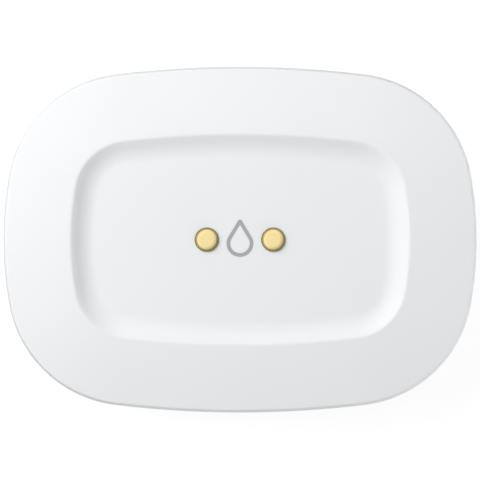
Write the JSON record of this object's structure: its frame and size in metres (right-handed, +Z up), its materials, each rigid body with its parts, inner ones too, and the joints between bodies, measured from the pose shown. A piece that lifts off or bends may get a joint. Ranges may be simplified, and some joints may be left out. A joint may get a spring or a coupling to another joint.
{
  "type": "water leak sensor",
  "caption": "Rounded free-standing water leak sensor with a shallow top dish, gold drip probes and droplet sign, floor probes below, a press-in battery door and a pairing button.",
  "frame": {"origin": "on the floor plane under the middle of the case", "axes": "+X along the case's length, +Y across it towards the droplet's tip, +Z up"},
  "size_m": [0.055, 0.0402, 0.017],
  "materials": {
    "shell_white": "satin",
    "contact_gold": "polished",
    "droplet_grey": "matte",
    "silicone_grey": "matte",
    "seal_black": "matte",
    "foam_black": "matte",
    "plated_steel": "satin",
    "board_green": "satin",
    "chip_black": "matte",
    "ceramic_white": "satin",
    "capacitor_yellow": "satin",
    "passive_tan": "satin",
    "button_grey": "satin",
    "clear_plastic": "gloss"
  },
  "bodies": {
    "case": {"upper_housing": "shell_white", "lower_housing": "shell_white", "drip_probe_left": "contact_gold", "drip_probe_right": "contact_gold", "drip_spring_fingers": "contact_gold", "spring_pin_barrels": "contact_gold", "spring_pin_plungers": "contact_gold", "positive_contact": "contact_gold", "negative_contact": "contact_gold", "floor_probe_front_left": "contact_gold", "floor_probe_front_right": "contact_gold", "floor_probe_back_left": "contact_gold", "floor_probe_back_right": "contact_gold", "droplet_inlay": "droplet_grey", "housing_seal": "silicone_grey", "drip_probe_washers": "silicone_grey", "floor_probe_washers": "silicone_grey", "foot_front_left": "silicone_grey", "foot_front_right": "silicone_grey", "foot_back_left": "silicone_grey", "foot_back_right": "silicone_grey", "drip_probe_nuts": "plated_steel", "floor_probe_nuts": "plated_steel", "housing_screws": "plated_steel", "coin_cell": "plated_steel", "radio_shield": "plated_steel", "crystal": "plated_steel", "circuit_board": "board_green", "radio_chip": "chip_black", "temperature_chip": "chip_black", "tact_switch": "chip_black", "antenna": "ceramic_white", "status_led": "ceramic_white", "reservoir_capacitor": "capacitor_yellow", "board_passives": "passive_tan", "light_pipe": "clear_plastic"},
    "door": {"battery_door": "shell_white", "door_seal": "seal_black", "cell_pad": "foam_black"},
    "button": {"pairing_button": "button_grey", "button_seal": "silicone_grey", "switch_plunger": "chip_black"}
  },
  "joints": [
    {"name": "door_pull", "type": "slide", "parent": "case", "child": "door", "axis": [0, 0, -1], "range_m": [0, 0.025]},
    {"name": "button_press", "type": "slide", "parent": "case", "child": "button", "axis": [0, 0, 1], "range_m": [0, 0.0003], "stiffness_N_per_m": 2500}
  ]
}
